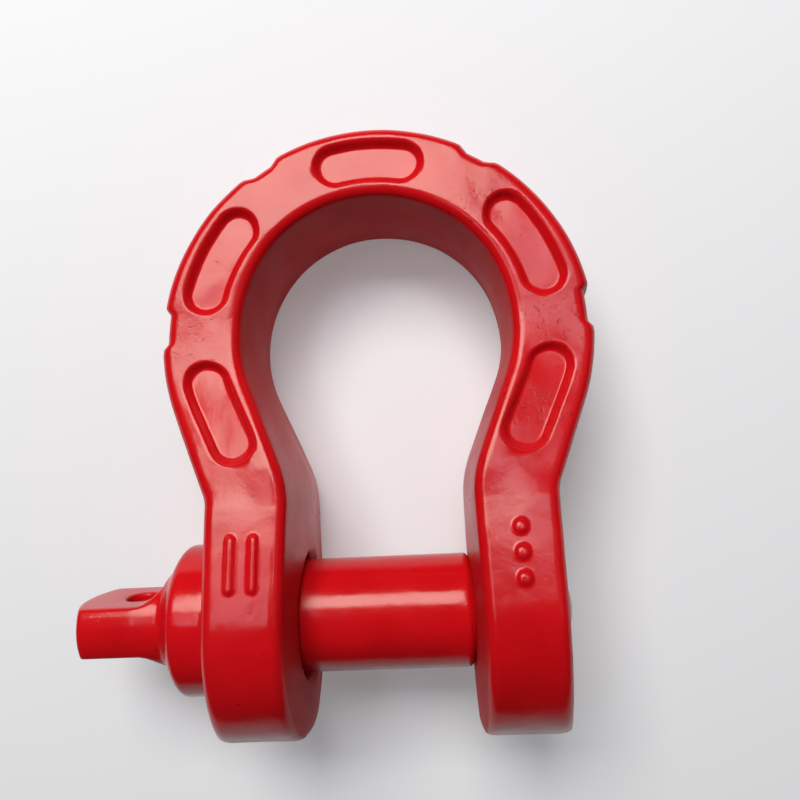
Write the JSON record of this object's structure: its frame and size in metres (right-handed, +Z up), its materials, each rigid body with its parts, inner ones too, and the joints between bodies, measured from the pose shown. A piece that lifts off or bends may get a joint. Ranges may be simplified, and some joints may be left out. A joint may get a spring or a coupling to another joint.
{
  "type": "screw pin bow shackle",
  "caption": "Forged bow shackle with a round arch, recessed pockets and two eyes, closed by a screw pin with a flattened, holed head; joins chain ends.",
  "frame": {"origin": "on the pin's axis, half way between the two eyes, with the shackle lying on its back", "axes": "+X along the pin towards its screwed end, +Y from the pin to the crown, +Z up from the floor it lies on"},
  "size_m": [0.1082, 0.1222, 0.0466],
  "materials": {
    "enamel": "gloss",
    "pin_enamel": "gloss"
  },
  "bodies": {
    "bow": {"bow": "enamel"},
    "screw_pin": {"screw_pin": "pin_enamel"}
  },
  "joints": [
    {"name": "pin_withdraw", "type": "slide", "parent": "bow", "child": "screw_pin", "axis": [-1, 0, 0], "range_m": [0, 0.08]}
  ]
}
